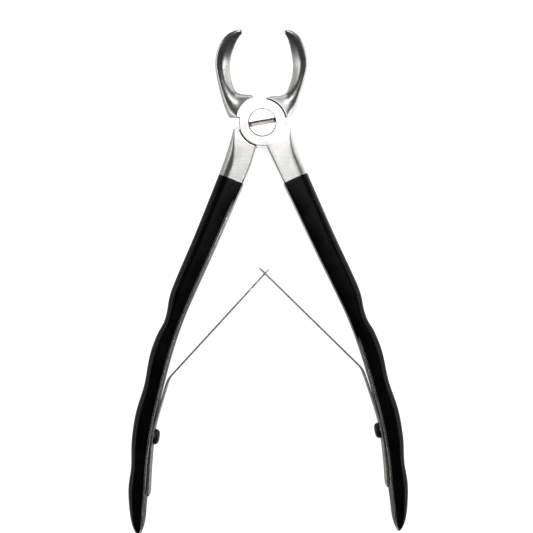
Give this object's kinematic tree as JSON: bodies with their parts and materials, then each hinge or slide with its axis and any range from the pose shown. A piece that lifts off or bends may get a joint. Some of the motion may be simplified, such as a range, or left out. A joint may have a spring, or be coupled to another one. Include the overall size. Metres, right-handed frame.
{
  "type": "extraction forceps",
  "caption": "Hand forceps with crossed levers on a slotted pivot screw, curved pointed beaks, black coated handles and hooked leaf springs that open them.",
  "frame": {"origin": "on the pivot axis, at the joint's back face, which is also the plane the instrument lies on", "axes": "+X towards the handle of the front lever, +Y from the handles to the beaks, +Z along the pivot out of the joint's front face, the way the beaks bend"},
  "size_m": [0.0968, 0.1714, 0.0163],
  "materials": {
    "steel": "satin, finely brushed, flat faces ground bright",
    "screw_steel": "ground bright across the slot",
    "black_coating": "hard black coating, semi-gloss",
    "spring_steel": "cold-rolled strip, slightly warm",
    "black_screw": "black oxide"
  },
  "bodies": {
    "front_lever_body": {"front_lever": "steel", "front_handle_coating": "black_coating", "slotted_leaf_base": "spring_steel", "slotted_leaf_screw": "black_screw"},
    "rear_lever_body": {"rear_lever": "steel", "rear_handle_coating": "black_coating", "pivot_screw": "screw_steel", "tongue_leaf_base": "spring_steel", "tongue_leaf_screw": "black_screw"},
    "slotted_leaf_arm_body": {"slotted_leaf_arm": "spring_steel"},
    "tongue_leaf_arm_body": {"tongue_leaf_arm": "spring_steel"}
  },
  "joints": [
    {"name": "pivot", "type": "hinge", "parent": "front_lever_body", "child": "rear_lever_body", "pos_m": [0, 0, 0.0045], "axis": [0, 0, 1], "range_deg": [-7, 24], "stiffness_Nm_per_rad": 1.5},
    {"name": "slotted_leaf_flex", "type": "hinge", "parent": "front_lever_body", "child": "slotted_leaf_arm_body", "pos_m": [0.03452, -0.08461, 0.00445], "axis": [0, 0, 1], "range_deg": [-15.5, 5]},
    {"name": "tongue_leaf_flex", "type": "hinge", "parent": "rear_lever_body", "child": "tongue_leaf_arm_body", "pos_m": [-0.03239, -0.08773, 0.00445], "axis": [0, 0, 1], "range_deg": [-5, 15.5]}
  ],
  "couplings": [
    {"joint": "slotted_leaf_flex", "follows": "pivot", "ratio": -0.59},
    {"joint": "tongue_leaf_flex", "follows": "pivot", "ratio": 0.59}
  ]
}
